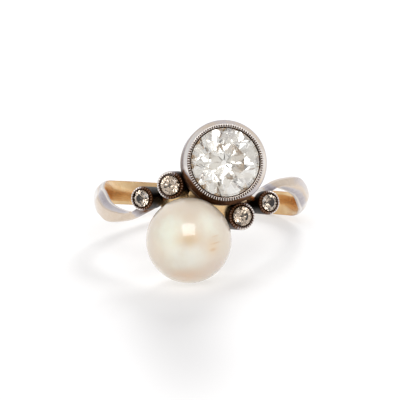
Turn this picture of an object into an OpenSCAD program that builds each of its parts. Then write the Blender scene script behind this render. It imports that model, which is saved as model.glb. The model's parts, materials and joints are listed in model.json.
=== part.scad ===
// Crossover ring with a pearl and an old-cut diamond set across the finger,
// two small diamonds on each shoulder, and an S-shaped hoop.
//
// Hoop frame, used by every sub-part: origin at the middle of the finger hole,
// Y along the finger with the diamond at +Y and the pearl at -Y, Z out through
// the head, X to the wearer's right as the head is looked at. The right half of
// the metalwork is the left half turned 180 degrees about Z. laid_down() then
// turns the ring onto its side, with Z up and the head towards -Y.

/* [Finger hole] */
// Inner diameter of the hoop
finger_d = 17.2; // [16.8:0.1:17.6]

/* [Band] */
// Width of the band at the back of the hoop
band_w = 2.1; // [1.9:0.1:2.3]
// Thickness of the band along its crown
band_t = 0.95; // [0.85:0.05:1.05]
// Thickness of the band at its two edges
band_edge_t = 0.5; // [0.45:0.05:0.55]

/* [Pearl] */
// Diameter of the pearl
pearl_d = 7.4; // [7.2:0.1:7.4]
// Diameter of the peg that the pearl is glued on
peg_d = 0.8; // [0.6:0.1:1]
// Diameter of the gold cup under the pearl
cup_d = 4.4; // [3.8:0.1:4.8]

/* [Diamonds] */
// Girdle diameter of the main diamond
main_stone_d = 6.3; // [6.1:0.05:6.3]
// Girdle diameter of the two shoulder diamonds beside the head
inner_stone_d = 2.0; // [1.9:0.05:2.0]
// Girdle diameter of the two shoulder diamonds further out
outer_stone_d = 1.75; // [1.65:0.05:1.75]

/* [Collets] */
// Outer diameter of the main collet
main_collet_d = 7.43; // [7.3:0.01:7.44]
// Outer diameter of the collets beside the head
inner_collet_d = 2.42; // [2.35:0.01:2.45]
// Outer diameter of the collets further out
outer_collet_d = 2.12; // [2.05:0.01:2.2]

/* [Rest on a table] */
// Angle by which the head is raised when the pearl lies on the table
head_raised = 14.2; // [13:0.1:16]
// Angle by which the ring leans to its right when it lies still
head_lean = 8.3; // [6:0.1:10]

/* [Hidden] */
$fn = 48;

// Colours of gold, of silver and of the stones
gold = "#d9a860";
silver = "#c9c7c6";
nacre = "#efe6d4";
diamond = "#eef2f5";

finger_r = finger_d / 2;
pearl_r = pearl_d / 2;

// Gap between a stone and its metal, and between the pearl and its peg and cup
stone_gap = 0.04;
pearl_gap = 0.05;
// How far a piece is sunk into the one it is soldered to
sunk = 0.3;

// The band, one row for each angle round the finger from the left side (0)
// to the head (90): angle, lower edge and upper edge along the finger, crown
// thickness, place of the crown between the edges (-1 lower, 1 upper), and
// thickness at the lower and at the upper edge. The lower edge is the outer
// one of the left sweep. The back of the hoop is at -90.
LOWER = 1;
UPPER = 2;
CROWN = 3;
RIDGE = 4;
LOWER_T = 5;
UPPER_T = 6;
half_w = band_w / 2;
shoulder_rows = [
    [-90, -half_w, half_w, band_t,        0,    band_edge_t,        band_edge_t],
    [-30, -half_w, half_w, band_t,        0,    band_edge_t,        band_edge_t],
    [-12, -1.08,   0.96,   band_t + 0.08, 0.15, band_edge_t + 0.05, band_edge_t - 0.2],
    [  0, -1.72,   0.44,   band_t,       -0.2,  band_edge_t + 0.1,  band_edge_t - 0.15],
    [ 12, -1.98,   0.12,   band_t,        0.18, band_edge_t + 0.15, band_edge_t - 0.15],
    [ 24, -2.48,  -0.80,   band_t,        0.28, band_edge_t + 0.1,  band_edge_t - 0.2],
    [ 37, -2.38,  -1.30,   band_t + 0.03, 0.28, band_edge_t + 0.1,  band_edge_t - 0.2],
    [ 47, -2.05,  -1.38,   band_t + 0.06, 0.2,  band_edge_t + 0.05, band_edge_t - 0.1],
    [ 56, -1.40,  -0.40,   band_t + 0.08, 0.05, band_edge_t,        band_edge_t],
    [ 65, -0.64,   0.72,   band_t + 0.08, 0,    band_edge_t,        band_edge_t],
    [ 75,  0.26,   1.90,   band_t + 0.08, 0,    band_edge_t,        band_edge_t],
    [ 85,  1.25,   2.85,   band_t + 0.05, 0,    band_edge_t,        band_edge_t],
    [ 96,  2.30,   3.80,   band_t,        0,    band_edge_t,        band_edge_t]
];
band_steps = 47;
band_end = 96;

// Points of the band's outer face, from the lower edge (-1) past the crown (0)
// to the upper edge (1)
section_places = [-1, -0.96, -0.82, -0.6, -0.3, 0, 0.3, 0.6, 0.82, 0.96, 1];
// Part of the edge thickness that stands straight at the two sides
edge_straight = 0.5;
// How sharply the crown rises: 2 is a plain arc, less gives a soft ridge
crown_power = 1.5;
// How far the section reaches inside the finger hole before that is cut
section_inside = 0.3;

// Gold bridge under the head, a shell round the finger
bridge_w = 2.9;
bridge_t = 0.65;
bridge_angle = 48;

// Main collet: centre of its rim, and its outward lean across and along
main_place = [1.40, 3.46, 13.3];
main_lean = [6, 5];
main_collet_h = 4.3;

// Pearl: its centre; its peg leans the other way
pearl_place = [-1.34, -3.48, 13.53];
cup_t = 0.4;
peg_depth = 3;
foot_d = 2.6;

// Shoulder collets on the left: angle from the head, place along the finger,
// distance of the rim from the finger axis, and lean of the rim along the finger
SHOULDER_ANGLE = 0;
SHOULDER_ALONG = 1;
SHOULDER_RIM = 2;
SHOULDER_LEAN = 3;
outer_place = [-28.6, -0.18, 11.6, 3];
inner_place = [-15.2, 1.14, 12.2, 3];
collet_base_r = 9.2;

// Proportions of an old cut, each for a girdle radius of 1
cut_table = 0.53;
cut_star = 0.78;
cut_crown = 0.33;
cut_girdle = 0.05;
cut_pavilion = 0.86;
cut_lower = 0.3;
cut_culet = 0.07;
cut_sides = 8;

// Proportions of a collet, each for a girdle radius of 1
seat_open = 0.957;
seat_bore = 0.87;
seat_depth = 0.14;
lip_rise = 0.07;

// Value of column c of a table at x, on a smooth curve through its rows
function row_at(rows, x, i = 0) =
    i >= len(rows) - 2 || x < rows[i + 1][0] ? i : row_at(rows, x, i + 1);
function slope_at(rows, i, c) =
    let (a = max(i - 1, 0), b = min(i + 1, len(rows) - 1))
    (rows[b][c] - rows[a][c]) / (rows[b][0] - rows[a][0]);
function smooth(rows, x, c) =
    let (i = row_at(rows, x),
         h = rows[i + 1][0] - rows[i][0],
         s = (x - rows[i][0]) / h,
         p = rows[i][c],
         q = rows[i + 1][c],
         m = h * slope_at(rows, i, c),
         n = h * slope_at(rows, i + 1, c))
    p + s * m + s * s * (3 * (q - p) - 2 * m - n) + s * s * s * (2 * (p - q) + m + n);

// Height of the band's outer face above the finger hole, at place v from the
// crown to an edge of the given thickness
function band_height(v, crown, edge) =
    abs(v) == 1 ? edge * edge_straight
                : edge + (crown - edge) * (1 - pow(abs(v), crown_power));

// One cross-section of the left half of the band at an angle round the finger
function band_section(angle) =
    let (low = smooth(shoulder_rows, angle, LOWER),
         high = smooth(shoulder_rows, angle, UPPER),
         crown = smooth(shoulder_rows, angle, CROWN),
         ridge = smooth(shoulder_rows, angle, RIDGE),
         low_t = smooth(shoulder_rows, angle, LOWER_T),
         high_t = smooth(shoulder_rows, angle, UPPER_T),
         outline = concat([[-1, -section_inside]],
                          [for (v = section_places)
                              [v, band_height(v, crown, v < 0 ? low_t : high_t)]],
                          [[1, -section_inside]]))
    [for (p = outline)
        let (u = ridge + p[0] * (p[0] > 0 ? 1 - ridge : 1 + ridge),
             r = finger_r + p[1],
             along = (low + high) / 2 + u * (high - low) / 2)
        [-r * cos(angle), along, r * sin(angle)]];

// The same section on the right half: the left one turned 180 degrees about Z
function turned_section(angle) =
    let (s = band_section(angle), n = len(s))
    [for (i = [n - 1 : -1 : 0]) [-s[i][0], -s[i][1], s[i][2]]];

// Solid through a list of sections with equally many points, ends closed
module loft(sections) {
    n = len(sections[0]);
    last = len(sections) - 1;
    sides = [for (k = [0 : last - 1], i = [0 : n - 1], half = [0, 1])
        let (j = (i + 1) % n, a = k * n, b = (k + 1) * n)
        half == 0 ? [a + i, b + i, b + j] : [a + i, b + j, a + j]];
    start = [[for (i = [0 : n - 1]) i]];
    end = [[for (i = [n - 1 : -1 : 0]) last * n + i]];
    polyhedron([for (s = sections) for (p = s) p], concat(start, sides, end));
}

// Hoop with its two swept shoulders, ending under the diamond and the pearl
module band() {
    step = (band_end + 90) / band_steps;
    left = [for (i = [0 : band_steps]) band_section(band_end - i * step)];
    right = [for (i = [1 : band_steps]) turned_section(-90 + i * step)];
    loft(concat(left, right));
}

module bridge() {
    rotate([90, 0, 0]) rotate([0, 0, 90 - bridge_angle / 2])
        rotate_extrude(angle = bridge_angle)
            translate([finger_r - section_inside, -bridge_w / 2])
                square([bridge_t + section_inside, bridge_w]);
}

// Place and lean of each setting: the children's origin is the middle of the
// rim, or of the pearl, with Z outwards
module at_main() {
    translate(main_place) rotate([-main_lean[1], main_lean[0], 0]) children();
}

module at_pearl() {
    translate(pearl_place) rotate([main_lean[1], -main_lean[0], 0]) children();
}

module at_shoulder(place) {
    translate([0, place[SHOULDER_ALONG], 0])
        rotate([0, place[SHOULDER_ANGLE], 0])
            translate([0, 0, place[SHOULDER_RIM]])
                rotate([place[SHOULDER_LEAN], 0, 0]) children();
}

// Both halves: the children, and again turned 180 degrees about the head
module both_sides() {
    children();
    rotate([0, 0, 180]) children();
}

// Outside of the main collet: a tapered tube with a bevelled rim
module main_collet() {
    r = main_collet_d / 2;
    rim_r = main_stone_d / 2 + 0.12;
    bead_r = 0.09;
    rotate_extrude() polygon([
        [0, 0], [rim_r, 0], [r, -0.55], [r - 0.08, -2.2],
        [r - 0.4, -main_collet_h], [0, -main_collet_h]]);
    rotate_extrude()
        translate([main_stone_d / 2 * seat_open + bead_r, 0]) circle(bead_r);
}

// Outside of a shoulder collet, down into the band
module shoulder_collet(d, stone_d, h) {
    r = d / 2;
    bead_r = 0.07;
    rotate_extrude() polygon([
        [0, 0], [r - 0.1, 0], [r, -0.12], [r - 0.12, -h], [0, -h]]);
    rotate_extrude()
        translate([stone_d / 2 * seat_open + bead_r, 0]) circle(bead_r);
}

// Hollow for a stone: mouth under the lip, bearing under the girdle, and bore
module stone_seat(stone_d, bore_h) {
    r = stone_d / 2;
    over = 1;
    girdle_z = -r * seat_depth;
    lip_z = girdle_z + r * lip_rise + stone_gap;
    foot_z = girdle_z - r * cut_girdle / 2 - stone_gap;
    slope = cut_pavilion / (1 - cut_culet);
    rotate_extrude() polygon([
        [0, over], [r * seat_open, over], [r * seat_open, lip_z],
        [r + stone_gap, lip_z], [r + stone_gap, foot_z],
        [r * seat_bore, foot_z - (r + stone_gap - r * seat_bore) * slope],
        [r * seat_bore, -bore_h], [0, -bore_h]]);
}

// Gold cup under the pearl, with its peg and its foot on the band
module pearl_cup() {
    inner_r = pearl_r + pearl_gap;
    outer_r = inner_r + cup_t;
    foot_h = outer_r * cos(asin(foot_d / 2 / outer_r)) - 0.1;
    difference() {
        intersection() {
            sphere(outer_r);
            translate([0, 0, -outer_r - 1]) cylinder(d = cup_d, h = outer_r);
        }
        sphere(inner_r);
    }
    translate([0, 0, -outer_r - sunk]) cylinder(d = foot_d, h = outer_r + sunk - foot_h);
    translate([0, 0, -outer_r]) cylinder(d = peg_d, h = outer_r - pearl_r + peg_depth);
}

// All the soldered metal: gold hoop, bridge and cup, silver-fronted collets
module ring_mount() {
    outer_h = outer_place[SHOULDER_RIM] - collet_base_r;
    inner_h = inner_place[SHOULDER_RIM] - collet_base_r;
    color(silver) laid_down() difference() {
        union() {
            color(gold) band();
            color(gold) bridge();
            color(gold) at_pearl() pearl_cup();
            color(silver) at_main() main_collet();
            color(silver) both_sides() {
                at_shoulder(outer_place)
                    shoulder_collet(outer_collet_d, outer_stone_d, outer_h);
                at_shoulder(inner_place)
                    shoulder_collet(inner_collet_d, inner_stone_d, inner_h);
            }
        }
        rotate([90, 0, 0])
            cylinder(r = finger_r, h = 4 * finger_r, center = true, $fn = 96);
        at_main() stone_seat(main_stone_d, main_collet_h + 2);
        both_sides() {
            at_shoulder(outer_place) stone_seat(outer_stone_d, outer_h - 0.6);
            at_shoulder(inner_place) stone_seat(inner_stone_d, inner_h - 0.6);
        }
    }
}

// Old-cut brilliant with its rim plane at Z 0: table, eight stars, eight
// kites, sixteen upper halves, girdle, and the same below down to a culet
module old_cut(stone_d) {
    r = stone_d / 2;
    n = cut_sides;
    turn = 360 / n;
    crown_slope = cut_crown / (1 - cut_table);
    pavilion_slope = cut_pavilion / (1 - cut_culet);
    near = cos(turn / 2);
    star_z = cut_crown - (cut_star * near - cut_table) * crown_slope;
    lower_z = cut_pavilion - (cut_lower * near - cut_culet) * pavilion_slope;
    half = cut_girdle / 2;

    function ring(count, radius, z, offset) =
        [for (i = [0 : count - 1])
            let (a = i * 360 / count + offset)
            [r * radius * cos(a), r * radius * sin(a), r * z]];

    points = concat(
        ring(n, cut_table, cut_crown + half, turn / 2),
        ring(n, cut_star, star_z + half, 0),
        ring(2 * n, 1, half, 0),
        ring(2 * n, 1, -half, 0),
        ring(n, cut_lower, -lower_z - half, 0),
        ring(n, cut_culet, -cut_pavilion - half, turn / 2));
    table = 0;
    star = n;
    top = 2 * n;
    bottom = 4 * n;
    lower = 6 * n;
    culet = 7 * n;
    k = [for (i = [0 : n - 1]) i];
    faces = concat(
        [[for (i = k) table + n - 1 - i]],
        [for (i = k) [table + i, star + i, table + (i + n - 1) % n]],
        [for (i = k) [table + i, star + (i + 1) % n, top + 2 * i + 1, star + i]],
        [for (i = k) [star + i, top + 2 * i + 1, top + 2 * i]],
        [for (i = k) [star + i, top + 2 * i, top + (2 * i + 2 * n - 1) % (2 * n)]],
        [for (i = [0 : 2 * n - 1])
            [top + i, top + (i + 1) % (2 * n), bottom + (i + 1) % (2 * n), bottom + i]],
        [for (i = k) [lower + i, bottom + 2 * i, bottom + 2 * i + 1]],
        [for (i = k) [lower + i, bottom + (2 * i + 2 * n - 1) % (2 * n), bottom + 2 * i]],
        [for (i = k)
            [culet + i, lower + i, bottom + 2 * i + 1, lower + (i + 1) % n]],
        [for (i = k) [culet + i, culet + (i + n - 1) % n, lower + i]],
        [[for (i = k) culet + i]]);
    translate([0, 0, -r * seat_depth]) polyhedron(points, faces);
}

module pearl() {
    hole_r = peg_d / 2 + pearl_gap;
    color(nacre) laid_down() at_pearl() difference() {
        sphere(pearl_r);
        translate([0, 0, -pearl_r - 1])
            cylinder(r = hole_r, h = 1 + peg_depth + pearl_gap);
    }
}

module main_diamond() {
    color(diamond) laid_down() at_main() old_cut(main_stone_d);
}

module left_outer_diamond() {
    color(diamond) laid_down() at_shoulder(outer_place) old_cut(outer_stone_d);
}

module left_inner_diamond() {
    color(diamond) laid_down() at_shoulder(inner_place) old_cut(inner_stone_d);
}

module right_inner_diamond() {
    color(diamond) laid_down() rotate([0, 0, 180])
        at_shoulder(inner_place) old_cut(inner_stone_d);
}

module right_outer_diamond() {
    color(diamond) laid_down() rotate([0, 0, 180])
        at_shoulder(outer_place) old_cut(outer_stone_d);
}

// Place of a point of the hoop frame after the ring is turned onto its side
function lying(p) =
    let (x = p[0] * cos(head_lean) + p[1] * sin(head_lean),
         y = p[1] * cos(head_lean) - p[0] * sin(head_lean))
    [x,
     y * sin(head_raised) - p[2] * cos(head_raised),
     y * cos(head_raised) + p[2] * sin(head_raised)];

// On its side with the pearl on the table, over the middle of the origin
module laid_down() {
    front = lying(pearl_place)[1] - pearl_r;
    back = (finger_r + band_t) * cos(head_raised) + half_w * sin(head_raised);
    up = pearl_r - lying(pearl_place)[2];
    translate([0, -(front + back) / 2, up])
        rotate([90 - head_raised, 0, 0]) rotate([0, 0, -head_lean]) children();
}

ring_mount();
pearl();
main_diamond();
left_outer_diamond();
left_inner_diamond();
right_inner_diamond();
right_outer_diamond();
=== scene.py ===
# Crossover ring with a pearl and an old-cut diamond: its finished surfaces, built round the packed
# part. Shapes are worked out in millimetres in the hoop frame, then laid down onto the table.
import json
import math

import bpy
import numpy as np
from mathutils import Matrix, Vector


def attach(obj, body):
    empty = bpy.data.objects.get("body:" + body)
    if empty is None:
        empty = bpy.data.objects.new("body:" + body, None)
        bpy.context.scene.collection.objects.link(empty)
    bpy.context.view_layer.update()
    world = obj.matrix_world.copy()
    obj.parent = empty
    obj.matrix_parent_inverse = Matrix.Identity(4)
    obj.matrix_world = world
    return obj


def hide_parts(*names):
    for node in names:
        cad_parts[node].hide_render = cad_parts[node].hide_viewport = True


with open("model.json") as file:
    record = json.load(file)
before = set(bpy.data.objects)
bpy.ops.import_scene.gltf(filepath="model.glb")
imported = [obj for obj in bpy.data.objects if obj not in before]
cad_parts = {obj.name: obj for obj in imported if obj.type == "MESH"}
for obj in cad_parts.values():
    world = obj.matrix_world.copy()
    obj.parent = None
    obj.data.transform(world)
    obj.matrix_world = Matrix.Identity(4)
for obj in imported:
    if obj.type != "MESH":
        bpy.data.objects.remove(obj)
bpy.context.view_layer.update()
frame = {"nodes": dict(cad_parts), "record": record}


# How the ring lies
# The hoop frame has its origin in the middle of the finger hole, Y along the finger with the diamond
# at +Y, and Z out through the head. The ring lies on its side, propped on the pearl, so the head is
# raised and leans a little.
MM = 0.001
HEAD_RAISED = 14.2
HEAD_LEAN = 8.3
finger_bore = frame["record"]["mounts"][0]
HOOP_MIDDLE = np.array(finger_bore["pos_m"])
FINGER_R = finger_bore["dims"]["r_mm"]


def turn(axis, degrees):
    """Rotation matrix about X, Y or Z: the two other axes turn into each other by the angle,
    counterclockwise."""
    i = "XYZ".index(axis)
    j, k = (i + 1) % 3, (i + 2) % 3
    a = math.radians(degrees)
    m = np.eye(3)
    m[j, j] = m[k, k] = math.cos(a)
    m[k, j] = math.sin(a)
    m[j, k] = -math.sin(a)
    return m


LIE = turn("X", 90 - HEAD_RAISED) @ turn("Z", -HEAD_LEAN)


def laid_down(points):
    """Points of the hoop frame in mm, turned onto the table and moved to the finger hole's middle, in
    metres."""
    return points @ LIE.T * MM + HOOP_MIDDLE


# Hoop
# A filed gold band, whose two ends are drawn out sideways into an S and pass each other under the
# head. Its shoulders are faced with silver, soldered on the gold, and the silver has gone dark where
# nothing rubs it.
BAND_HALF_W = 1.05
BAND_T = 0.95
EDGE_T = 0.5
EDGE_INSET = 0.06
# Each side turns down from the crown at the first of these heights and is upright at the second, as
# parts of the thickness at its edge
EDGE_TOP, EDGE_MIDDLE = 0.92, 0.5
BAND_BACK, BAND_END = -90, 96
PATH_STEPS = 300
CROWN_POINTS = 37
INSIDE_POINTS = 17
CROWN_POWER = 1.5
CROWN_REACH = 0.94
BACK_RISE = (0.1, 0.24)
BACK_TURNS_UNEVEN = (-88, -60)
WEAR_OFF = 0.8
WEAR_POWER = 4
SHOULDER_RISE = (0.02, 0.07)
SHOULDER_BEGINS = (-28, -6)
SILVER_FROM = -16
SILVER_T = 0.1
# The left half by its angle, from the back up to the head: where its edges lie along the finger, how
# high it is at the crown, where the ridge lies between the edges, and how thick it is at each edge
ANGLE, LOWER, UPPER, CROWN, RIDGE, LOWER_T, UPPER_T = range(7)
SHOULDER_ROWS = np.array([
    [BAND_BACK, -BAND_HALF_W, BAND_HALF_W, BAND_T, 0, EDGE_T, EDGE_T],
    [-30, -BAND_HALF_W, BAND_HALF_W, BAND_T, 0, EDGE_T, EDGE_T],
    [-12, -1.08, 0.96, BAND_T + 0.08, 0.15, EDGE_T + 0.05, EDGE_T - 0.2],
    [0, -1.72, 0.44, BAND_T, -0.2, EDGE_T + 0.1, EDGE_T - 0.15],
    [12, -1.98, 0.12, BAND_T, 0.3, EDGE_T + 0.15, EDGE_T - 0.15],
    [24, -2.48, -0.80, BAND_T, 0.42, EDGE_T + 0.1, EDGE_T - 0.2],
    [37, -2.38, -1.30, BAND_T + 0.03, 0.42, EDGE_T + 0.1, EDGE_T - 0.2],
    [47, -2.05, -1.38, BAND_T + 0.06, 0.3, EDGE_T + 0.05, EDGE_T - 0.1],
    [56, -1.40, -0.40, BAND_T + 0.08, 0.05, EDGE_T, EDGE_T],
    [65, -0.64, 0.72, BAND_T + 0.08, 0, EDGE_T, EDGE_T],
    [75, 0.26, 1.90, BAND_T + 0.08, 0, EDGE_T, EDGE_T],
    [85, 1.25, 2.85, BAND_T + 0.05, 0, EDGE_T, EDGE_T],
    [BAND_END, 2.30, 3.80, BAND_T, 0, EDGE_T, EDGE_T],
])


def smooth(rows, x):
    """Every column of the table at each x: cubics through the rows, whose slope at a row is that of
    the line between the row's two neighbours."""
    last = len(rows) - 1
    before = np.maximum(np.arange(last + 1) - 1, 0)
    after = np.minimum(np.arange(last + 1) + 1, last)
    slope = (rows[after] - rows[before]) / (rows[after, :1] - rows[before, :1])
    i = np.clip(np.searchsorted(rows[:, 0], x, side="right") - 1, 0, last - 1)
    h = rows[i + 1, :1] - rows[i, :1]
    s = (x[:, None] - rows[i, :1]) / h
    p, q, m, n = rows[i], rows[i + 1], h * slope[i], h * slope[i + 1]
    return p + s * m + s**2 * (3 * (q - p) - 2 * m - n) + s**3 * (2 * (p - q) + m + n)


def ramp(x, start, end):
    """0 before start, 1 after end, and the cubic 3t2 - 2t3 between them."""
    t = np.clip((x - start) / (end - start), 0, 1)
    return t * t * (3 - 2 * t)


def span(x, start, full, fading, end):
    """1 from full to fading, 0 before start and after end, and a ramp on either side."""
    return ramp(x, start, full) * (1 - ramp(x, fading, end))


def between(a, b, share):
    """a where the share is 0, b where it is 1, and in proportion between them."""
    return a + (b - a) * share


def rounded(a, via, b, count):
    """Count points from a towards b on the parabola that leaves and arrives along the lines to via."""
    t = np.arange(count)[:, None] / count
    return (1 - t) ** 2 * a[:, None] + 2 * t * (1 - t) * via[:, None] + t**2 * b[:, None]


def band_outline(rows, side):
    """Closed outline of each cross-section as (place between the edges, height above the finger
    hole): the crown falls to each edge as 1 - |v|^1.5, the edges are rounded, and the worn inside
    rises to them as the 4th power of the distance from its lowest line, which lies near the lower
    edge on the left half (side -1) and near the upper one on the right."""
    count = len(rows)
    uneven = ramp(rows[:, ANGLE], *BACK_TURNS_UNEVEN)[:, None]
    swept = ramp(rows[:, ANGLE], *SHOULDER_BEGINS)[:, None]
    even = sum(BACK_RISE) / 2
    upper_rise, lower_rise = (
        between(between(even, back, uneven), shoulder, swept)
        for back, shoulder in zip(BACK_RISE[::side], SHOULDER_RISE[::side]))
    lowest = side * WEAR_OFF * uneven * (1 - swept)
    v = CROWN_REACH * np.sin(np.linspace(-np.pi / 2, np.pi / 2, CROWN_POINTS))[None, :]
    edge = np.where(v < 0, rows[:, LOWER_T, None], rows[:, UPPER_T, None])
    crown = edge + (rows[:, CROWN, None] - edge) * (1 - np.abs(v) ** CROWN_POWER)
    top = np.stack([np.repeat(v, count, 0), crown], -1)
    inset = 2 * EDGE_INSET / (rows[:, UPPER] - rows[:, LOWER])

    def down_the_side(sign, thickness, start, rise):
        whole = np.full(count, sign)
        above = np.stack([whole, thickness * EDGE_TOP], -1)
        middle = np.stack([whole, thickness * EDGE_MIDDLE], -1)
        foot = np.stack([whole, np.full(count, SILVER_T)], -1)
        below = np.stack([whole, rise[:, 0]], -1)
        inside = np.stack([whole * (1 - inset), rise[:, 0]], -1)
        return np.concatenate([
            rounded(start, above, middle, 7)[:, 1:],
            rounded(middle, (middle + foot) / 2, foot, 3),
            rounded(foot, below, inside, 4)], 1)

    upper_side = down_the_side(1.0, rows[:, UPPER_T], top[:, -1], upper_rise)
    lower_side = down_the_side(-1.0, rows[:, LOWER_T], top[:, 0], lower_rise)
    t = np.linspace(1, -1, INSIDE_POINTS)[None, :]
    off = t - lowest
    worn = np.where(off > 0, upper_rise * np.abs(off / (1 - lowest)) ** WEAR_POWER,
                    lower_rise * np.abs(off / (1 + lowest)) ** WEAR_POWER)
    worn = np.stack([(1 - inset)[:, None] * t, worn], -1)
    return np.concatenate([top, upper_side, worn, lower_side[:, ::-1]], 1)


def surface(name, grid, ring=False, layers=None):
    """A closed mesh from a grid of points, one closed section per row. The rows close into a ring, or
    each end gets a middle point. The faces are turned round if the volume they enclose comes out
    negative. A layer is a value for each point of the grid."""
    n, m = grid.shape[:2]
    i, j = np.meshgrid(np.arange(n if ring else n - 1), np.arange(m), indexing="ij")
    following, beside = (i + 1) % n, (j + 1) % m
    quads = np.stack([i * m + j, i * m + beside, following * m + beside, following * m + j], -1)
    quads = quads.reshape(-1, 4)
    points = grid.reshape(-1, 3)
    values = {k: np.broadcast_to(v, (n, m)).reshape(-1) for k, v in (layers or {}).items()}
    triangles = np.empty((0, 3), int)
    if not ring:
        k = np.arange(m)
        first, last = np.full(m, n * m), np.full(m, n * m + 1)
        end = (n - 1) * m
        triangles = np.concatenate([
            np.stack([first, (k + 1) % m, k], -1),
            np.stack([last, end + k, end + (k + 1) % m], -1)])
        points = np.concatenate([points, [grid[0].mean(0), grid[-1].mean(0)]])
        values = {k: np.concatenate([v, [v[0], v[-1]]]) for k, v in values.items()}
    fans = np.concatenate([quads[:, [0, 1, 2]], quads[:, [0, 2, 3]], triangles])
    a, b, c = (points[fans[:, k]] for k in range(3))
    if (a * np.cross(b, c)).sum() < 0:
        quads, triangles = quads[:, ::-1], triangles[:, ::-1]
    mesh = bpy.data.meshes.new(name)
    mesh.from_pydata(laid_down(points), [], quads.tolist() + triangles.tolist())
    for key, value in values.items():
        layer = mesh.attributes.new(key, "FLOAT", "POINT")
        layer.data.foreach_set("value", value.astype(np.float32))
    mesh.shade_smooth()
    piece = bpy.data.objects.new(name, mesh)
    bpy.context.scene.collection.objects.link(piece)
    return piece


def linear(code):
    """sRGB hex code as linear RGBA."""
    c = np.array([int(code[k:k + 2], 16) for k in (1, 3, 5)]) / 255
    return (*np.where(c <= 0.04045, c / 12.92, ((c + 0.055) / 1.055) ** 2.4), 1.0)


def add(tree, kind, inputs=None, **settings):
    """Adds one node with its settings. An input is a value, or an output socket to link."""
    made = tree.nodes.new(kind)
    for key, value in settings.items():
        setattr(made, key, value)
    for key, value in (inputs or {}).items():
        if isinstance(value, bpy.types.NodeSocket):
            tree.links.new(value, made.inputs[key])
        else:
            made.inputs[key].default_value = value
    return made


def new_material(name):
    """An empty node material: itself, its tree, its output node and its Object coordinates."""
    material = bpy.data.materials.new(name)
    material.use_nodes = True
    tree = material.node_tree
    tree.nodes.clear()
    out = add(tree, "ShaderNodeOutputMaterial")
    return material, tree, out, add(tree, "ShaderNodeTexCoord").outputs["Object"]


# Scale of a pattern that has one feature in each millimetre
PER_MM = 1 / MM


def polished_gold():
    """Pale yellow gold of about 15 carats, filed, polished and worn: a warm mirror, softened by
    hairline scratches that run round the hoop about 0.06 mm apart, in slightly uneven tones 1 mm
    across. It deepens by itself where gold faces gold."""
    material, tree, out, place = new_material("polished_worn_gold")
    drawn = add(tree, "ShaderNodeMapping", {"Vector": place, "Scale": (0.15, 0.15, 1)})
    scratches = add(tree, "ShaderNodeTexNoise", {
        "Vector": drawn.outputs[0], "Scale": 16 * PER_MM, "Detail": 3})
    tones = add(tree, "ShaderNodeTexNoise", {
        "Vector": place, "Scale": 0.9 * PER_MM, "Detail": 4, "Roughness": 0.6})
    tint = add(tree, "ShaderNodeValToRGB", {"Fac": tones.outputs["Fac"]})
    stops = tint.color_ramp.elements
    stops[0].position, stops[0].color = 0.35, linear("#dfb886")
    stops[1].position, stops[1].color = 0.65, linear("#eacd9f")
    rough = add(tree, "ShaderNodeMapRange", {
        "Value": scratches.outputs["Fac"], "To Min": 0.14, "To Max": 0.28})
    bump = add(tree, "ShaderNodeBump", {
        "Height": scratches.outputs["Fac"], "Strength": 0.15, "Distance": 0.01 * MM})
    shader = add(tree, "ShaderNodeBsdfPrincipled", {
        "Base Color": tint.outputs["Color"], "Roughness": rough.outputs[0],
        "Normal": bump.outputs[0], "Metallic": 1.0})
    tree.links.new(shader.outputs[0], out.inputs["Surface"])
    return material


def tarnished_silver():
    """Silver, scraped bright and burnished, with the brown to black sulphide that it grows where
    nothing rubs it. The mesh's tarnish value says how sheltered each place is, and in a few places it
    also carries painted shade and painted reflection. A noise of 0.3 mm breaks it up. A thin film of
    it is tan, then lavender-grey, before it turns brown."""
    material, tree, out, place = new_material("burnished_silver_with_tarnish")
    sheltered = add(tree, "ShaderNodeAttribute", attribute_name="tarnish").outputs["Fac"]
    blotches = add(tree, "ShaderNodeTexNoise", {
        "Vector": place, "Scale": 3.2 * PER_MM, "Detail": 5, "Roughness": 0.65})
    spread = add(tree, "ShaderNodeMath", {0: blotches.outputs["Fac"], 1: 0.5}, operation="ADD")
    amount = add(tree, "ShaderNodeMath", {0: spread.outputs[0], 1: sheltered}, operation="MULTIPLY")
    tint = add(tree, "ShaderNodeValToRGB", {"Fac": amount.outputs[0]})
    stops = tint.color_ramp.elements
    stops[0].position, stops[0].color = 0.0, linear("#f3efea")
    stops[1].position, stops[1].color = 0.95, linear("#170f0a")
    for position, code in (
            (0.045, "#e3dfdb"), (0.1, "#d8c7b4"), (0.17, "#c6c0c2"), (0.24, "#b1abaf"),
            (0.38, "#8d8482"), (0.55, "#6e4b31"), (0.75, "#4f3019")):
        stops.new(position).color = linear(code)
    scratches = add(tree, "ShaderNodeTexNoise", {
        "Vector": place, "Scale": 14 * PER_MM, "Detail": 3})
    wear = add(tree, "ShaderNodeMapRange", {
        "Value": scratches.outputs["Fac"], "To Min": 0.14, "To Max": 0.26})
    dull = add(tree, "ShaderNodeMath", {0: amount.outputs[0], 1: 0.3, 2: wear.outputs[0]},
               operation="MULTIPLY_ADD", use_clamp=True)
    bump = add(tree, "ShaderNodeBump", {
        "Height": scratches.outputs["Fac"], "Strength": 0.25, "Distance": 0.01 * MM})
    shader = add(tree, "ShaderNodeBsdfPrincipled", {
        "Base Color": tint.outputs["Color"], "Roughness": dull.outputs[0],
        "Normal": bump.outputs[0], "Metallic": 1.0})
    tree.links.new(shader.outputs[0], out.inputs["Surface"])
    return material


def finish_piece(piece, materials, node):
    """Gives a piece its materials, lets it ride on the ring, and has it stand for its CAD node."""
    for material in materials:
        piece.data.materials.append(material)
    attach(piece, "root")
    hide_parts(node)


GOLD = polished_gold()
SILVER = tarnished_silver()
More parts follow.
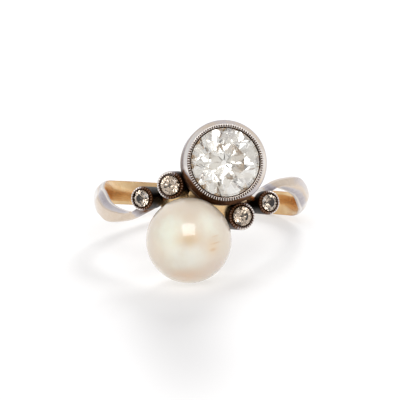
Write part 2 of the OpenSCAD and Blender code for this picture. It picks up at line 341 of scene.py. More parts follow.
# Tarnish of the fronts: the film all over, what the sweep and the right half's outermost part add to
# it, the painted lavender-grey reflection on the slope that faces the collets, and how much of it is
# rubbed off at the very edge. Four angles are those where a film begins, is full, begins to fade and
# ends.
FILM, SWEEP_FILM, SLOPE_PAINTED_REFLECTION, OUTER_FILM = 0.03, 0.07, 0.12, 0.05
SWEEP = (0, 15, 50, 57)
SLOPE_FADES = (38, 50)
OUTERMOST = (-10, 5, 24, 40)
RUBBED_OFF = 0.8
STRAP_DARKENS = (45, 62)
STRAP_EDGE_CHANGES = (53, 58)


def band_half(angles, side, edge_tarnish_and_painted_reflection):
    """Sections of one half of the hoop, and their layers. The right half (side 1) is the left one
    turned 180 degrees about the head, so its edges change places and sign. The strap darkens towards
    the head with tarnish, least at its outer edge, whose two values are for 53 and 58 degrees. These
    also paint the reflection that leaves the left strap's outer edge darker than the right one's."""
    rows = smooth(SHOULDER_ROWS, angles)
    if side > 0:
        swapped = [ANGLE, UPPER, LOWER, CROWN, RIDGE, UPPER_T, LOWER_T]
        rows = rows[:, swapped] * np.array([1, -1, -1, 1, -1, 1, 1])
    outline = band_outline(rows, side)
    v, height = outline[..., 0], outline[..., 1]
    inwards = -side * v
    angle = angles[:, None]
    ridge = rows[:, RIDGE, None]
    u = ridge + v * np.where(v > 0, 1 - ridge, 1 + ridge)
    # Painted lavender-grey reflection on the slope that faces the collets
    slope = ramp(-side * u, 0.35, 0.85) * (1 - ramp(angle, *SLOPE_FADES))
    outermost = ramp(u, -0.2, 0.3) * span(angle, *OUTERMOST) * (side > 0)
    film = FILM + SWEEP_FILM * span(angle, *SWEEP) + SLOPE_PAINTED_REFLECTION * slope + OUTER_FILM * outermost
    rubbed = RUBBED_OFF * ramp(inwards, 0.88, 0.97) * ramp(height, 0.12, 0.28)
    edge = between(*edge_tarnish_and_painted_reflection, ramp(angle, *STRAP_EDGE_CHANGES))
    strap = ramp(angle, *STRAP_DARKENS) * between(edge, 1, ramp(inwards, -0.7, 0.3))
    lower, upper = rows[:, LOWER, None], rows[:, UPPER, None]
    along = (upper + lower) / 2 + u * (upper - lower) / 2
    a = np.radians(angle)
    r = FINGER_R + height
    return np.stack([side * r * np.cos(a), along, r * np.sin(a)], -1), {
        "tarnish": np.maximum(film * (1 - rubbed), strap),
        "silver_front": (height > SILVER_T - 0.01) & (angle > SILVER_FROM)}


def open_bore(piece, cutter):
    """Cuts the cutter's shape out of the piece and keeps the result as the piece's own mesh."""
    cut = piece.modifiers.new("bore", "BOOLEAN")
    cut.object = cutter
    cut.operation = "DIFFERENCE"
    cut.solver = "EXACT"
    bpy.context.view_layer.update()
    whole = piece.evaluated_get(bpy.context.evaluated_depsgraph_get())
    mesh = bpy.data.meshes.new_from_object(whole)
    piece.modifiers.clear()
    piece.data = mesh


falling = np.linspace(BAND_END, BAND_BACK, PATH_STEPS)
# The left strap's outer edge stays dark and the right one's turns bright: tarnish and painted
# reflection
left_half, left_layers = band_half(falling, -1, edge_tarnish_and_painted_reflection=(0.7, 0.7))
right_half, right_layers = band_half(falling[-2::-1], 1, edge_tarnish_and_painted_reflection=(0.5, 0.0))
hoop = surface("hoop", np.concatenate([left_half, right_half]), layers={
    key: np.concatenate([left_layers[key], right_layers[key]]) for key in left_layers})


def face_materials(piece, layer):
    """Faces whose corners all have the layer's value get the piece's second material."""
    mesh = piece.data
    marked = np.empty(len(mesh.vertices), np.float32)
    mesh.attributes[layer].data.foreach_get("value", marked)
    corners = np.empty(len(mesh.loops), np.int32)
    mesh.loops.foreach_get("vertex_index", corners)
    starts = np.empty(len(mesh.polygons), np.int32)
    mesh.polygons.foreach_get("loop_start", starts)
    second = np.minimum.reduceat(marked[corners], starts) > 0.5
    mesh.polygons.foreach_set("material_index", second.astype(np.int32))


# The hole in the main collet goes on through whatever of the hoop and the bridge lies under it
MAIN_STONE_R = 3.15
MAIN_PLACE = np.array([1.40, 3.46, 13.3])
MAIN_TURN = turn("Y", 6) @ turn("X", -5)
SEAT_BORE = 0.87
MAIN_BORE_R = MAIN_STONE_R * SEAT_BORE
BORE_ENDS = (-6.3, -1.1)
ROUND_STEPS = 96


def at_main(points):
    """Points of the main collet's own frame, Z outwards from the middle of its rim, in the hoop
    frame."""
    return points @ MAIN_TURN.T + MAIN_PLACE


def once_round(count):
    """Column of count angles in radians, in equal steps from 0 once round an axis."""
    return np.linspace(0, 2 * np.pi, count, endpoint=False)[:, None]


def revolved(outline, count):
    """Grid of an outline of (distance from the axis, height) carried once round the axis: one row per
    angle."""
    a = once_round(count)
    out, height = outline[None, :, 0], outline[None, :, 1]
    height = np.broadcast_to(height, (count, len(outline)))
    return np.stack([out * np.cos(a), out * np.sin(a), height], -1)


bore_outline = np.array([[MAIN_BORE_R, z] for z in BORE_ENDS])
bore = surface("bore", at_main(revolved(bore_outline, ROUND_STEPS)).swapaxes(0, 1))
face_materials(hoop, "silver_front")
finish_piece(hoop, (GOLD, SILVER), "ring_mount")
open_bore(hoop, bore)
hoop.data.set_sharp_from_angle(angle=math.radians(50))


# Bridge
# A curved gold plate soldered under the head, from one end of the hoop to the other, which carries
# the two settings. It narrows towards its ends.
BRIDGE_W = 2.9
BRIDGE_T = 0.65
BRIDGE_ANGLE = 48
BRIDGE_STEPS = 60
BRIDGE_NARROWS = 0.35
PLATE_SPACING = 0.15


def filleted(corners, radius, spacing):
    """Closed outline through the corners, each one rounded by a parabola that leaves its two sides
    one radius from it, or 0.45 of the shorter side where that is less. Its points are at least as
    close as the spacing, and those that coincide are kept once."""
    corners = np.asarray(corners, float)
    before, after = np.roll(corners, 1, 0) - corners, np.roll(corners, -1, 0) - corners
    long_before, long_after = (np.linalg.norm(s, axis=1, keepdims=True) for s in (before, after))
    reach = np.minimum(radius, 0.45 * np.minimum(long_before, long_after))
    a, b = corners + before / long_before * reach, corners + after / long_after * reach
    loop = np.concatenate([rounded(a, corners, b, 5), b[:, None]], 1).reshape(-1, 2)
    loop = np.concatenate([loop, loop[:1]])
    length = np.concatenate([[0], np.cumsum(np.linalg.norm(np.diff(loop, axis=0), axis=1))])
    at = np.union1d(length, np.arange(0, length[-1], spacing))[:-1]
    at = at[np.append(True, np.diff(at) > 1e-6)]
    return np.stack([np.interp(at, length, loop[:, k]) for k in (0, 1)], -1)


bridge_outline = filleted([
    [-BRIDGE_W / 2, 0], [BRIDGE_W / 2, 0], [BRIDGE_W / 2, BRIDGE_T], [-BRIDGE_W / 2, BRIDGE_T]],
    radius=0.12, spacing=PLATE_SPACING)
swing = np.radians(np.linspace(-BRIDGE_ANGLE / 2, BRIDGE_ANGLE / 2, BRIDGE_STEPS))[:, None]
bridge_r = FINGER_R + bridge_outline[None, :, 1]
narrowed = 1 - BRIDGE_NARROWS * (swing / swing[-1]) ** 4
bridge = surface("bridge", np.stack([
    bridge_r * np.sin(swing), bridge_outline[None, :, 0] * narrowed, bridge_r * np.cos(swing)], -1))
finish_piece(bridge, (GOLD,), "ring_mount")
open_bore(bridge, bore)
bridge.data.set_sharp_from_angle(angle=math.radians(50))
bpy.data.objects.remove(bore)


# Web
# A gold plate in the gap between the main collet, the pearl and the inner collets, soldered to all of
# them. Its front leans a little to the right and down, and its edge is softened.
WEB_CORNERS = [
    [-1.6, 0.75], [-1.6, -0.2], [-0.6, -0.5], [0.5, -0.85], [1.1, -1.3], [1.75, -1.5],
    [1.9, -1.0], [2.3, -0.3], [1.9, 0.3], [0.6, 0.35], [-0.4, 0.9]]
WEB_LEAN = 0.12
WEB_BACK = BRIDGE_T + FINGER_R - 0.1
WEB_FRONT = 11.3
web_outline = filleted(WEB_CORNERS, radius=0.2, spacing=PLATE_SPACING)
web_middle = web_outline.mean(0)
web_rows = []
for width, z, lean in (
        (1.0, WEB_BACK, 0), (1.0, WEB_FRONT - 0.08, WEB_LEAN), (0.97, WEB_FRONT, WEB_LEAN),
        (0.5, WEB_FRONT + 0.02, WEB_LEAN)):
    loop = web_middle + width * (web_outline - web_middle)
    web_rows.append(np.column_stack([loop, z + lean * (loop[:, 1] - loop[:, 0])]))
web = surface("web", np.stack(web_rows))
web.data.set_sharp_from_angle(angle=math.radians(40))
finish_piece(web, (GOLD,), "ring_mount")


# Main collet
# A silver tube with a bevelled rim, lined with gold, open behind the stone. Its rim is rubbed over
# the stone and finished with a millgrain wheel, which leaves about 96 grains. Below the bevel it is
# dark towards the pearl, with tarnish and with painted shade of the pearl.
MAIN_R = 3.715
MAIN_H = 4.3
MAIN_RIM_R = 3.33
MAIN_LIP_R = 2.94
MAIN_GROOVE_R = 3.08
LINING_R = MAIN_GROOVE_R + 0.2
LINING_DEPTH = 0.14
MAIN_STEPS = 240
MAIN_GRAINS = 96
MAIN_GRAINS_R = 3.225
MAIN_GRAIN_SIZE = (0.15, 0.1)
PEARL_SIDE = 254
AWAY_FROM_PEARL = PEARL_SIDE + 180
SEAT_DEPTH = 0.14
STONE_GAP = 0.04
# Dirt and painted shade in the groove between the grains and the stone
GROOVE_DIRT_AND_SHADE = 0.88
GRAIN_GAP_TARNISH = 0.86
GRAIN_STEPS, TUBE_STEPS = 8, 12
# The bevel, from which distance to which depth, and its thin film of tarnish with painted reflection,
# thickest at the top and at the lower right: angles round the rim, tarnish
BEVEL_BEGINS_R = (3.2, 3.3)
BEVEL_ENDS_DEPTH = (0.3, 0.5)
BEVEL_FILM_AND_PAINTED_REFLECTION = (
    (0, 60, 95, 135, 180, 250, 318, 340),
    (0.05, 0.11, 0.155, 0.06, 0.0, 0.06, 0.2, 0.08))
# The crescent on the pearl's side, tarnish with painted shade of the pearl: half its angle, where it
# begins beyond the bevel's outer edge, how far it reaches in from there, over what width it sets in,
# and its tarnish and painted shade
CRESCENT_HALF = 66
CRESCENT_BEYOND = 0.12
CRESCENT_REACH = 0.8
CRESCENT_SETS_IN = (-0.08, 0.3)
CRESCENT_TARNISH_AND_SHADE = 0.76

seat_r = MAIN_STONE_R + STONE_GAP
girdle_z = -MAIN_STONE_R * SEAT_DEPTH
main_outline = filleted([
    [MAIN_BORE_R, -MAIN_H], [MAIN_R - 0.4, -MAIN_H], [MAIN_R - 0.08, -2.2], [MAIN_R, -0.55],
    [MAIN_RIM_R, 0], [MAIN_RIM_R - 0.06, -0.05], [MAIN_GROOVE_R, -0.05], [MAIN_LIP_R, -0.13],
    [seat_r, -0.2], [seat_r, girdle_z - 0.12], [MAIN_BORE_R, girdle_z - 0.54]],
    radius=0.06, spacing=0.08)


def shelter(a, outward):
    """How sheltered the places at angles a are: 0 up to 70 degrees from the outward angle, which is
    in degrees, 1 from 120 degrees on, and a ramp of the cosine between them."""
    return ramp(-np.cos(a - math.radians(outward)), -0.35, 0.5)


def collet_tarnish(count, outline, outward, rim, wall, bevel, groove_r):
    """Tarnish over a collet's grid of count rows: rim and wall are its (cleanest, darkest) values,
    the cleanest towards the outward angle, and the wall begins where the bevel ends, between its two
    depths. The groove inside the grains is dark all round, with dirt and with painted shade of the rim
    over it."""
    away = shelter(once_round(count), outward)
    down = ramp(-outline[None, :, 1], *bevel)
    groove = outline[None, :, 0] < groove_r + 0.005
    return np.where(groove, GROOVE_DIRT_AND_SHADE, between(between(*rim, away), between(*wall, away), down))


def grains(radius, height, size, count, outward, rim, inner):
    """Grid of a ring of millgrain: a flattened torus whose tube rises and falls count times round
    with the cosine, down to a tenth of its height and 0.73 of its width, and its tarnish, which is
    brown-black between the grains, there most on their inner side, and all over towards the head. By
    the share inner, it also covers the whole inner side."""
    a = once_round(count * GRAIN_STEPS)
    swell = between(0.1, 1, 0.5 + 0.5 * np.cos(count * a))
    b = once_round(TUBE_STEPS).T
    out = radius + size[0] * between(0.7, 1, swell) * np.cos(b)
    z = height + size[1] * swell * np.sin(b)
    away = shelter(a, outward)
    gap = (1 - ramp(swell, 0.35, 0.8)) * np.maximum(ramp(-np.cos(b), -0.7, 0.4), away)
    covered = np.maximum(gap, inner * ramp(-np.cos(b), 0.3, 0.75))
    tarnish = between(between(*rim, away), GRAIN_GAP_TARNISH, covered)
    return np.stack([out * np.cos(a), out * np.sin(a), z], -1), tarnish


main_out, main_depth = main_outline[None, :, 0], -main_outline[None, :, 1]
main_tarnish_and_painted_light = collet_tarnish(
    MAIN_STEPS, main_outline, AWAY_FROM_PEARL, rim=(0.065, 0.08), wall=(0.3, 0.7),
    bevel=(0.3, 0.7), groove_r=MAIN_GROOVE_R)
around = np.degrees(once_round(MAIN_STEPS))
on_bevel = ramp(main_out, *BEVEL_BEGINS_R) * (1 - ramp(main_depth, *BEVEL_ENDS_DEPTH))
main_tarnish_and_painted_light = between(main_tarnish_and_painted_light, np.interp(around, *BEVEL_FILM_AND_PAINTED_REFLECTION, period=360), on_bevel)
# The crescent: tarnish and painted shade of the pearl
off_pearl = np.radians(np.clip((around - PEARL_SIDE) * 90 / CRESCENT_HALF, -90, 90))
crescent = CRESCENT_REACH * np.sqrt(np.clip(np.cos(off_pearl), 0, 1))
into_crescent = main_out - (MAIN_R + CRESCENT_BEYOND - crescent)
main_tarnish_and_painted_light = np.maximum(main_tarnish_and_painted_light, CRESCENT_TARNISH_AND_SHADE * ramp(into_crescent, *CRESCENT_SETS_IN))
lined = (main_out < LINING_R) & (main_depth > LINING_DEPTH)
main_collet = surface("main_collet", at_main(revolved(main_outline, MAIN_STEPS)), ring=True,
                      layers={"tarnish": main_tarnish_and_painted_light, "gold_lining": lined})
face_materials(main_collet, "gold_lining")
finish_piece(main_collet, (SILVER, GOLD), "ring_mount")
main_collet.data.set_sharp_from_angle(angle=math.radians(60))
grid, tarnish = grains(
    MAIN_GRAINS_R, 0.0, MAIN_GRAIN_SIZE, MAIN_GRAINS, AWAY_FROM_PEARL, rim=(0.0, 0.03), inner=0)
main_millgrain = surface("main_millgrain", at_main(grid), ring=True, layers={"tarnish": tarnish})
finish_piece(main_millgrain, (SILVER,), "ring_mount")


# Shoulder collets
# Four small silver tubes let into the ends of the shoulders, each with a stone under a grained rim.
# Between them and beside the head, where nothing rubs, they have gone nearly black, and they are
# bright on the side away from it.
SHOULDER_COLLETS = {
    "outer": {"angle": -28.6, "along": -0.18, "rim": 11.6, "lean": 3, "r": 1.06, "stone_r": 0.875,
              "grains": 26, "outward": 190},
    "inner": {"angle": -15.2, "along": 1.14, "rim": 12.2, "lean": 3, "r": 1.21, "stone_r": 1.0,
              "grains": 30, "outward": 165},
}
COLLET_BASE_R = 9.2
COLLET_FLOOR = 0.6
COLLET_LIP = 0.83
COLLET_GROOVE = 0.92
RUBBED_FOOT_SIDE = 310


def at_shoulder(points, place, half_turn):
    """Points of a shoulder collet's own frame in the hoop frame. The right ones are turned 180
    degrees about Z."""
    tilted = points @ turn("X", place["lean"]).T + np.array([0, 0, place["rim"]])
    swung = tilted @ turn("Y", place["angle"]).T + np.array([0, place["along"], 0])
    return swung @ turn("Z", half_turn).T


for side, half_turn in (("left", 0), ("right", 180)):
    for where, place in SHOULDER_COLLETS.items():
        r, stone_r, outward = place["r"], place["stone_r"], place["outward"]
        height = place["rim"] - COLLET_BASE_R
        bore_z = COLLET_FLOOR - height
        lip_r, groove_r = stone_r * COLLET_LIP, stone_r * COLLET_GROOVE
        seat_r, bore_r = stone_r + STONE_GAP, stone_r * SEAT_BORE
        girdle_z = -stone_r * SEAT_DEPTH
        outline = filleted([
            [0.02, -height], [r - 0.12, -height], [r, -0.12], [r - 0.05, -0.02], [groove_r, 0.0],
            [lip_r, 0.085], [lip_r, 0.05], [seat_r, -0.06], [seat_r, girdle_z - 0.06],
            [bore_r, girdle_z - 0.22], [bore_r, bore_z], [0.02, bore_z]],
            radius=0.05, spacing=0.05)
        tarnish = collet_tarnish(
            ROUND_STEPS, outline, outward, rim=(0.1, 0.75), wall=(0.85, 1.0), bevel=(0.06, 0.2),
            groove_r=groove_r)
        if (side, where) == ("right", "outer"):
            # Its foot is rubbed bright on the side towards the main collet
            off_foot = once_round(ROUND_STEPS) - math.radians(RUBBED_FOOT_SIDE)
            rubbed = ramp(np.cos(off_foot), 0.6, 0.8) * ramp(-outline[None, :, 1], 0.7, 1.1)
            tarnish = tarnish * (1 - rubbed)
        grid = at_shoulder(revolved(outline, ROUND_STEPS), place, half_turn)
        collet = surface(f"{side}_{where}_collet", grid, ring=True, layers={"tarnish": tarnish})
        finish_piece(collet, (SILVER,), "ring_mount")
        half_w = (r - 0.03 - groove_r) / 2
        grid, tarnish = grains(
            groove_r + half_w, 0.02, (half_w, 0.08), place["grains"], outward, rim=(0.0, 0.5), inner=1)
        millgrain = surface(f"{side}_{where}_millgrain", at_shoulder(grid, place, half_turn),
                            ring=True, layers={"tarnish": tarnish})
        finish_piece(millgrain, (SILVER,), "ring_mount")


# Pearl cup
# A shallow gold cup with a peg in its middle, on a round foot soldered to the hoop's end. The pearl
# is glued on it.
PEARL_R = 3.7
PEARL_PLACE = np.array([-1.34, -3.48, 13.53])
PEARL_TURN = turn("Y", -6) @ turn("X", 5)
PEARL_GAP = 0.05
CUP_T = 0.4
CUP_R = 2.2
FOOT_R = 1.3
FOOT_H = 0.3
PEG_R = 0.4
PEG_DEPTH = 3
ARC_POINTS = 16


def at_pearl(points):
    """Points of the pearl's own frame, Z outwards from its middle, in the hoop frame."""
    return points @ PEARL_TURN.T + PEARL_PLACE


def arc(radius, start, end):
    """Points of a circle round the origin between two distances from the axis, on its lower half."""
    a = np.linspace(math.asin(start / radius), math.asin(end / radius), ARC_POINTS)
    return np.stack([radius * np.sin(a), -radius * np.cos(a)], -1)


cup_in, cup_out = PEARL_R + PEARL_GAP, PEARL_R + PEARL_GAP + CUP_T
peg_top = PEG_DEPTH - PEARL_R
# Two points part of the way up the peg's straight side keep its shading even
cup_outline = np.concatenate([
    [[0.01, -cup_out - FOOT_H], [FOOT_R - 0.05, -cup_out - FOOT_H],
     [FOOT_R, -cup_out - FOOT_H + 0.05]],
    arc(cup_out, FOOT_R, CUP_R - 0.06),
    [[CUP_R, -cup_out * 0.83], [CUP_R - 0.04, -cup_in * 0.84]],
    arc(cup_in, PEG_R, CUP_R - 0.14)[::-1],
    [[PEG_R, -3.2], [PEG_R, -1.6], [PEG_R, peg_top - 0.06], [PEG_R - 0.08, peg_top],
     [0.01, peg_top]]])
cup = surface("pearl_cup", at_pearl(revolved(cup_outline, ROUND_STEPS)).swapaxes(0, 1))
cup.data.set_sharp_from_angle(angle=math.radians(45))
finish_piece(cup, (GOLD,), "ring_mount")


# Pearl
# A cream pearl, half-drilled for the peg: thin layers of nacre over a round bead, so light goes a
# little way in and comes out warm, and the skin has a soft gloss. Painted reflections lie on it, pale
# green-white beside the highlight, peach under it and rose at the bottom, and its layers are slightly
# uneven.
PEARL_STEPS = 180
SKIN_POINTS = 130
hole_r = PEG_R + PEARL_GAP
hole_top = PEG_DEPTH + PEARL_GAP - PEARL_R
skin = np.linspace(0.01, math.pi - math.asin(hole_r / PEARL_R), SKIN_POINTS)
# Three points along the hole's straight side keep its shading even
pearl_outline = np.concatenate([
    PEARL_R * np.stack([np.sin(skin), np.cos(skin)], -1),
    [[hole_r, -3.62], [hole_r, -2.5], [hole_r, -1.4], [hole_r, hole_top], [0.01, hole_top]]])

# Places on the skin, painted reflections and uneven nacre: direction from the pearl's middle, half
# width and half height in mm, colour and strength
PEARL_MARKS_AND_PAINTED_REFLECTIONS = (
    # Painted reflections of the lamps, pale, to the left and the right of the highlight
    ((-0.52, 0.14, 0.84), 1.9, 3.2, "#e8ebdb", 0.95),
    ((0.42, 0.42, 0.80), 1.4, 2.0, "#ebecdd", 0.85),
    # Uneven nacre, paler
    ((0.04, -0.40, 0.91), 2.6, 1.4, "#e6e6dc", 0.8),
    # Painted reflection of the dark behind the lens, peach, just under the highlight
    ((-0.04, 0.06, 1.0), 1.4, 0.75, "#d9bf9a", 0.7),
    # Uneven nacre, peach
    ((0.55, -0.10, 0.83), 1.0, 1.2, "#dfc4a0", 0.6),
    # Painted reflection, rose, at the bottom
    ((0.0, -0.82, 0.57), 2.4, 1.0, "#dcb898", 0.6),
    # Uneven nacre at the lower sides, then three narrow growth marks
    ((-0.72, -0.42, 0.55), 1.6, 2.0, "#decdb8", 0.6),
    ((0.62, -0.55, 0.56), 2.0, 1.4, "#dfcbbc", 0.6),
    ((0.575, 0.155, 0.80), 0.55, 0.09, "#d6b892", 0.5),
    ((0.61, 0.0, 0.79), 0.7, 0.11, "#cfae84", 0.7),
    ((0.55, -0.16, 0.82), 0.45, 0.2, "#d2b088", 0.7),
)


def nacre():
    """Nacre: IOR 1.53 under a clear glossy skin. Its beige carries painted reflections, pale
    green-white beside the highlight, peach just under it and rose at the bottom, and elsewhere shows
    paler and peach where the layers are thicker or thinner, all in patches of 1 to 6 mm with ragged
    edges, and in a few narrow growth marks. The skin is very slightly uneven every 0.45 mm."""
    material, tree, out, place = new_material("cream_nacre")
    uneven = add(tree, "ShaderNodeTexNoise", {"Vector": place, "Scale": 0.9 * PER_MM, "Detail": 4})
    ragged = add(tree, "ShaderNodeMapRange", {
        "Value": uneven.outputs["Fac"], "To Min": -0.5, "To Max": 0.5}).outputs[0]
    colour = linear("#d9ccb9")
    for direction, half_w, half_h, code, strength in PEARL_MARKS_AND_PAINTED_REFLECTIONS:
        middle = laid_down(PEARL_PLACE + PEARL_R * np.array(direction) / np.linalg.norm(direction))
        off = add(tree, "ShaderNodeVectorMath", {0: place, 1: middle}, operation="SUBTRACT")
        off = add(tree, "ShaderNodeVectorMath", {
            0: off.outputs[0], 1: (PER_MM / half_w, PER_MM / half_w, PER_MM / half_h)},
            operation="MULTIPLY")
        off = add(tree, "ShaderNodeVectorMath", {0: off.outputs[0]}, operation="LENGTH")
        off = add(tree, "ShaderNodeMath", {0: off.outputs["Value"], 1: ragged}, operation="ADD")
        share = add(tree, "ShaderNodeMapRange", {
            "Value": off.outputs[0], "From Min": 0.0, "From Max": 1.2,
            "To Min": strength, "To Max": 0.0}, interpolation_type="SMOOTHSTEP")
        mix = add(tree, "ShaderNodeMix", {
            0: share.outputs[0], 6: colour, 7: linear(code)}, data_type="RGBA")
        colour = mix.outputs[2]
    fine = add(tree, "ShaderNodeTexNoise", {"Vector": place, "Scale": 2.2 * PER_MM, "Detail": 3})
    bump = add(tree, "ShaderNodeBump", {
        "Height": fine.outputs["Fac"], "Strength": 0.12, "Distance": 0.03 * MM})
    shader = add(tree, "ShaderNodeBsdfPrincipled", {
        "Base Color": colour, "Normal": bump.outputs[0], "Roughness": 0.35, "IOR": 1.53,
        "Subsurface Weight": 0.15, "Subsurface Radius": (MM, 0.7 * MM, 0.4 * MM),
        "Subsurface Scale": 1.0, "Coat Weight": 1.0, "Coat Roughness": 0.1, "Coat IOR": 1.65})
    tree.links.new(shader.outputs[0], out.inputs["Surface"])
    return material


pearl = surface("pearl_nacre", at_pearl(revolved(pearl_outline, PEARL_STEPS)).swapaxes(0, 1))
finish_piece(pearl, (nacre(),), "pearl")


# Diamonds
# Old cuts, each with a small table, a high crown, a deep pavilion and an open culet. The five are the
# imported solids. The large one is white, and the small ones look brown, as the dark metal behind them
# shows through.
STONES = ("main_diamond", "left_outer_diamond", "left_inner_diamond", "right_inner_diamond",
          "right_outer_diamond")


def diamond(name, tint, density, grease, ior):
    """Polished diamond. A trace of grease dulls it in patches of about 0.5 mm, and the stone itself
    takes up what its tint lacks, once in every 1 / density metres of the way. Its IOR is 2.417 when
    it is clean. On a stone whose back is wet with grease, which lets light out, it is lower."""
    material, tree, out, place = new_material(name)
    film = add(tree, "ShaderNodeTexNoise", {"Vector": place, "Scale": 2 * PER_MM, "Detail": 3})
    dull = add(tree, "ShaderNodeMapRange", {
        "Value": film.outputs["Fac"], "From Min": 0.35, "From Max": 0.65,
        "To Min": grease / 4, "To Max": grease})
    shader = add(tree, "ShaderNodeBsdfPrincipled", {
        "Base Color": linear("#f5f5f3"), "Roughness": dull.outputs[0], "IOR": ior,
        "Transmission Weight": 1.0})
    inside = add(tree, "ShaderNodeVolumeAbsorption", {"Color": linear(tint), "Density": density})
    tree.links.new(shader.outputs[0], out.inputs["Surface"])
    tree.links.new(inside.outputs[0], out.inputs["Volume"])
    return material


WHITE_DIAMOND = diamond("near_white_diamond", "#e9e8e3", density=80, grease=0.1, ior=2.417)
BROWN_DIAMOND = diamond("light_brown_diamond", "#bd9a64", density=400, grease=0.02, ior=1.78)
for name in STONES:
    stone = frame["nodes"][name]
    stone.data.materials.clear()
    stone.data.materials.append(WHITE_DIAMOND if name == "main_diamond" else BROWN_DIAMOND)


# Table
# A white matt acrylic sheet, lit evenly from below, with a painted shadow of the head in front of it
# and painted light under the pearl in place of its contact shadow.
TABLE_HALF = 1.5
TABLE_GLOW = 0.38
# Ovals of painted shadow and painted light: middle, half width and half depth in mm, and loss of glow,
# which is less than 0 for a gain
PAINTED_SHADOW_AND_LIGHT_OVALS = (
    # Painted shadow of the head, long, towards the camera
    ((-3.4, -31), (6.5, 21), 0.17),
    # Painted light under the pearl, in place of its contact shadow
    ((-2.4, -9), (5, 7), -0.22),
)


def table_sheet():
    """White matt acrylic with light coming through it evenly, with ovals of painted shadow and painted
    light on it: each oval's loss is at its full in its middle."""
    material, tree, out, place = new_material("white_acrylic_with_painted_shadow_and_light")
    glow = TABLE_GLOW
    for (x, y), (half_w, half_d), loss in PAINTED_SHADOW_AND_LIGHT_OVALS:
        oval = add(tree, "ShaderNodeMapping", {
            "Vector": place, "Location": (x * MM, y * MM, 0),
            "Scale": (half_w * MM, half_d * MM, 1)}, vector_type="TEXTURE")
        off = add(tree, "ShaderNodeVectorMath", {0: oval.outputs[0]}, operation="LENGTH")
        lost = add(tree, "ShaderNodeMapRange", {
            "Value": off.outputs["Value"], "From Min": 0.0, "From Max": 1.0,
            "To Min": loss, "To Max": 0.0}, interpolation_type="SMOOTHSTEP")
        left = add(tree, "ShaderNodeMath", {0: glow, 1: lost.outputs[0]}, operation="SUBTRACT")
        glow = left.outputs[0]
    shader = add(tree, "ShaderNodeBsdfPrincipled", {
        "Base Color": linear("#b8b8b8"), "Roughness": 0.9, "Specular IOR Level": 0.1,
        "Emission Color": (1, 1, 1, 1), "Emission Strength": glow})
    tree.links.new(shader.outputs[0], out.inputs["Surface"])
    return material


sheet_mesh = bpy.data.meshes.new("table")
sheet_mesh.from_pydata(
    [(x * TABLE_HALF, y * TABLE_HALF, 0) for x, y in ((-1, -1), (1, -1), (1, 1), (-1, 1))],
    [], [(0, 1, 2, 3)])
sheet = bpy.data.objects.new("table", sheet_mesh)
bpy.context.scene.collection.objects.link(sheet)
sheet_mesh.materials.append(table_sheet())


# Camera
# It looks at the head nearly square on, a little from the left of the hoop, and is rolled against the
# ring's lean.
FRAME_PIXELS = 400
HOOP_MIDDLE_PIXEL = (201.4, 198.6)
PIXELS_PER_MM = 11.23
CAMERA_FAR = 450
CAMERA_LEFT = math.radians(2.05)
CAMERA_ABOVE = math.radians(0.8)
CAMERA_ROLL = math.radians(3.7)
SENSOR = 36

scene = bpy.context.scene
to_camera = np.array([
    -math.sin(CAMERA_LEFT) * math.cos(CAMERA_ABOVE), math.sin(CAMERA_ABOVE),
    math.cos(CAMERA_LEFT) * math.cos(CAMERA_ABOVE)])
upright = np.array([-math.sin(CAMERA_ROLL), math.cos(CAMERA_ROLL), 0])
upright = upright - (upright @ to_camera) * to_camera
upright = upright / np.linalg.norm(upright)
axes = LIE @ np.stack([np.cross(upright, to_camera), upright, to_camera], 1)

camera = bpy.data.cameras.new("camera")
camera.sensor_width = SENSOR
camera.lens = PIXELS_PER_MM * CAMERA_FAR / FRAME_PIXELS * SENSOR
camera.shift_x = (FRAME_PIXELS / 2 - HOOP_MIDDLE_PIXEL[0]) / FRAME_PIXELS
camera.shift_y = (HOOP_MIDDLE_PIXEL[1] - FRAME_PIXELS / 2) / FRAME_PIXELS
camera_object = bpy.data.objects.new("camera", camera)
scene.collection.objects.link(camera_object)
camera_object.matrix_world = (Matrix.Translation(Vector(laid_down(to_camera * CAMERA_FAR)))
                              @ Matrix(axes.tolist()).to_4x4())
scene.camera = camera_object


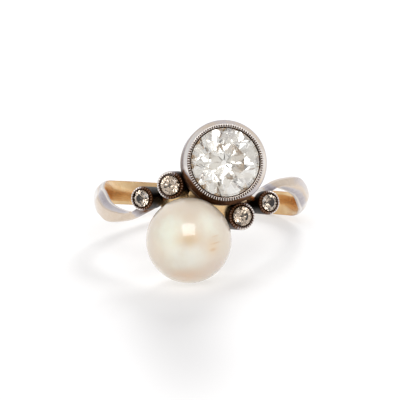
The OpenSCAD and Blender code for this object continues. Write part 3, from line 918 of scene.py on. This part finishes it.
# Light
# A white room, greyer at the sides and dark behind the lens, one soft box above the camera, and one
# high behind the ring that lights the table and the pearl but is screened from the metal and the
# stones.
SOFT_BOX_FAR = 1.0

scene.view_settings.view_transform = "Standard"
world = bpy.data.worlds.new("white_room")
world.use_nodes = True
scene.world = world
sky = world.node_tree
direction = add(sky, "ShaderNodeTexCoord").outputs["Generated"]
facing = add(sky, "ShaderNodeVectorMath", {
    0: direction, 1: LIE @ to_camera}, operation="DOT_PRODUCT")
share = add(sky, "ShaderNodeMapRange", {
    "Value": facing.outputs["Value"], "From Min": -1.0, "From Max": 1.0})
room = add(sky, "ShaderNodeValToRGB", {"Fac": share.outputs[0]})
stops = room.color_ramp.elements
stops[0].position, stops[0].color = 0.2, linear("#f8f8fa")
stops[1].position, stops[1].color = 0.99, linear("#3a3531")
for position, code in (
        (0.42, "#e8e8ea"), (0.6, "#cbc8cc"), (0.76, "#dad5d4"), (0.9, "#efeae3"),
        (0.978, "#f3efe9")):
    stops.new(position).color = linear(code)
sky.nodes["Background"].inputs["Strength"].default_value = 1.0
sky.links.new(room.outputs["Color"], sky.nodes["Background"].inputs["Color"])


def soft_box(name, size, power, right, up, forward, mirrored):
    """A square lamp, aimed at the finger hole's middle from a direction in the camera's axes. One
    that isn't mirrored lights matt surfaces only."""
    lamp = bpy.data.lights.new(name, "AREA")
    lamp.shape = "SQUARE"
    lamp.size = size
    lamp.energy = power
    placed = bpy.data.objects.new(name, lamp)
    placed.visible_glossy = placed.visible_transmission = mirrored
    scene.collection.objects.link(placed)
    towards = Vector(axes @ np.array([right, up, forward])).normalized()
    placed.matrix_world = (Matrix.Translation(Vector(HOOP_MIDDLE) + towards * SOFT_BOX_FAR)
                           @ towards.to_track_quat("Z", "Y").to_matrix().to_4x4())


soft_box("key_soft_box", size=0.6, power=3.8, right=0, up=0.5, forward=0.87, mirrored=True)
soft_box("rear_soft_box", size=0.3, power=8.0, right=0.2, up=0.74, forward=-0.62, mirrored=False)

# Light goes to and fro inside the stones many times before it comes out
scene.cycles.max_bounces = 24
scene.cycles.glossy_bounces = 16
scene.cycles.transmission_bounces = 24
